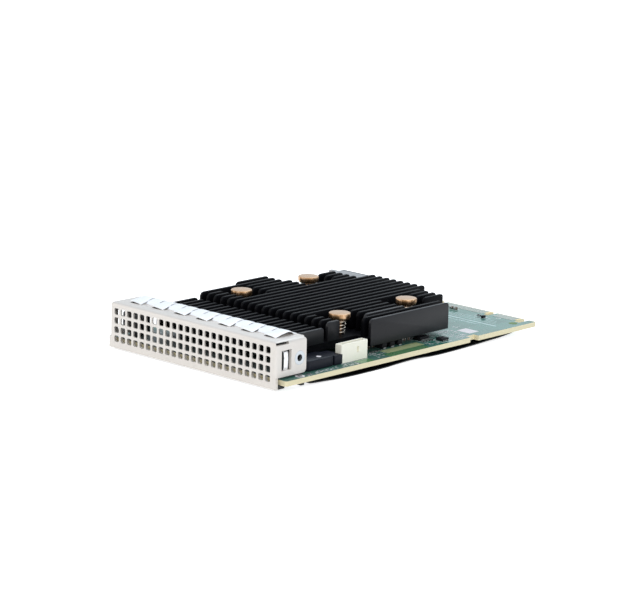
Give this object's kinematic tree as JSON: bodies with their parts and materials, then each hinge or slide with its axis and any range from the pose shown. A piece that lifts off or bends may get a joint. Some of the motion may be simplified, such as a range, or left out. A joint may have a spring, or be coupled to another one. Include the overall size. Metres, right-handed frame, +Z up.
{
  "type": "raid controller card",
  "caption": "Slim server RAID controller card with a perforated faceplate, a sprung contact strip, a finned black heat sink on spring pins, edge contacts and a low cable connector.",
  "frame": {"origin": "middle of the card's footprint, level with the lowest point of the insulating sheet", "axes": "+X to the right as the faceplate is seen, +Y from the faceplate to the edge contacts, +Z up from the board to the heat sink"},
  "size_m": [0.076, 0.117, 0.0164],
  "materials": {
    "board_laminate": "glossy dark green solder mask",
    "contact_gold": "gold plating",
    "faceplate_steel": "satin nickel plating, warm grey",
    "strip_steel": "bright tin plating",
    "zinc_casting": "satin die casting",
    "screw_steel": "bright zinc plating",
    "gasket_foam": "matt black conductive foam",
    "sink_aluminium": "black anodised, satin",
    "pin_bronze": "turned bronze, satin",
    "spring_steel": "bright spring wire",
    "retainer_steel": "spring steel plate",
    "package_black": "moulded black epoxy",
    "substrate_green": "green laminate substrate",
    "lid_nickel": "nickel plated lid",
    "thermal_pad": "grey thermal pad",
    "header_white": "off-white moulded nylon",
    "shell_steel": "satin stainless sheet",
    "housing_black": "moulded black nylon",
    "ceramic_tan": "sintered ceramic with tinned ends",
    "resistor_black": "black glass film",
    "insulator_film": "black polyester film"
  },
  "bodies": {
    "root": {"circuit_board": "board_laminate", "edge_contacts_top": "contact_gold", "edge_contacts_bottom": "contact_gold", "faceplate": "faceplate_steel", "gasket_finger_strip": "strip_steel", "side_leaf_right": "strip_steel", "side_leaf_left": "strip_steel", "mounting_block_right": "zinc_casting", "mounting_block_left": "zinc_casting", "mounting_block_screws": "screw_steel", "front_gasket": "gasket_foam", "heat_sink": "sink_aluminium", "moulded_choke": "package_black", "regulator_package": "package_black", "insulator_sheet": "insulator_film", "ceramic_capacitors_bottom": "ceramic_tan", "controller_substrate": "substrate_green", "controller_lid": "lid_nickel", "controller_thermal_pad": "thermal_pad", "memory_packages": "package_black", "memory_thermal_pads": "thermal_pad", "power_header_housing": "header_white", "power_header_pins": "contact_gold", "cable_connector_shell": "shell_steel", "cable_connector_housing": "housing_black", "cable_connector_wing": "shell_steel", "cable_connector_contacts": "contact_gold", "ceramic_capacitors_top": "ceramic_tan", "bulk_capacitors": "package_black", "chip_resistors": "resistor_black", "small_chips": "package_black", "power_inductors": "package_black", "retaining_pin_front_left": "pin_bronze", "pin_spring_front_left": "spring_steel", "pin_retainer_front_left": "retainer_steel", "retaining_pin_front_right": "pin_bronze", "pin_spring_front_right": "spring_steel", "pin_retainer_front_right": "retainer_steel", "retaining_pin_rear_left": "pin_bronze", "pin_spring_rear_left": "spring_steel", "pin_retainer_rear_left": "retainer_steel", "retaining_pin_rear_right": "pin_bronze", "pin_spring_rear_right": "spring_steel", "pin_retainer_rear_right": "retainer_steel"}
  },
  "joints": []
}
